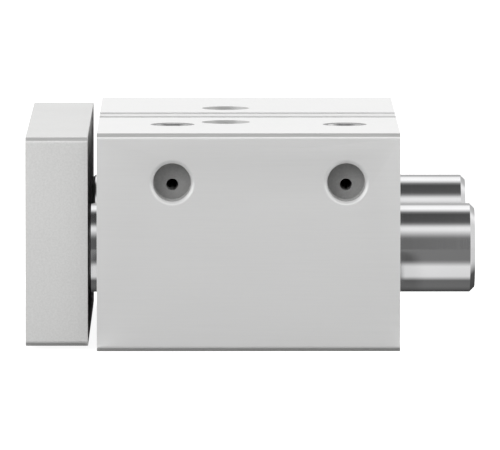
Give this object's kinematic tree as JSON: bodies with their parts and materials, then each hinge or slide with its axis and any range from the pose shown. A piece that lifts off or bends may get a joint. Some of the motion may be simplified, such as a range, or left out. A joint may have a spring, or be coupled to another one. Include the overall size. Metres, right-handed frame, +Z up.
{
  "type": "guided pneumatic cylinder",
  "caption": "Compact guided pneumatic cylinder: block housing with plugged and open air ports, sensor slots, and a yoke plate carried by hard guide rods.",
  "frame": {"origin": "centre of the housing's bottom mounting face", "axes": "+X along the stroke towards the rear, the yoke plate at the -X end and moving towards -X; -Y is the side with the open air ports; +Z up, through the face with the sensor slots"},
  "size_m": [0.101, 0.11, 0.049],
  "materials": {
    "anodised_aluminium": "satin natural anodised, fine lengthwise grain",
    "machined_aluminium": "satin, finely blasted",
    "hard_chrome": "polished hard chrome",
    "bearing_bronze": "sintered bronze",
    "seal_rubber": "matte black nitrile rubber",
    "bumper_polyurethane": "satin polyurethane",
    "guide_band_resin": "matte filled resin",
    "magnet_ferrite": "matte bonded ferrite",
    "ring_spring_steel": "phosphated spring steel",
    "screw_steel": "zinc plated steel",
    "plug_steel": "nickel plated steel"
  },
  "bodies": {
    "housing": {"bearing_cap": "machined_aluminium", "bearing_cap_o_ring": "seal_rubber", "blanking_plug_front": "plug_steel", "blanking_plug_rear": "plug_steel", "end_cap": "machined_aluminium", "end_cap_o_ring": "seal_rubber", "front_retaining_ring": "ring_spring_steel", "guide_bush_front_left": "bearing_bronze", "guide_bush_front_right": "bearing_bronze", "guide_bush_rear_left": "bearing_bronze", "guide_bush_rear_right": "bearing_bronze", "housing": "anodised_aluminium", "rear_retaining_ring": "ring_spring_steel", "rod_bearing_bush": "bearing_bronze", "rod_seal": "seal_rubber", "rod_wiper_left": "seal_rubber", "rod_wiper_right": "seal_rubber"},
    "yoke": {"bumper_front": "bumper_polyurethane", "bumper_rear": "bumper_polyurethane", "guide_rod_left": "hard_chrome", "guide_rod_right": "hard_chrome", "guide_rod_screw_left": "screw_steel", "guide_rod_screw_right": "screw_steel", "piston": "machined_aluminium", "piston_guide_band": "guide_band_resin", "piston_magnet": "magnet_ferrite", "piston_nut": "screw_steel", "piston_rod": "hard_chrome", "piston_rod_screw": "screw_steel", "piston_seal_front": "seal_rubber", "piston_seal_rear": "seal_rubber", "yoke_plate": "machined_aluminium"}
  },
  "joints": [
    {"name": "yoke_slide", "type": "slide", "parent": "housing", "child": "yoke", "axis": [-1, 0, 0], "range_m": [0, 0.02]}
  ]
}
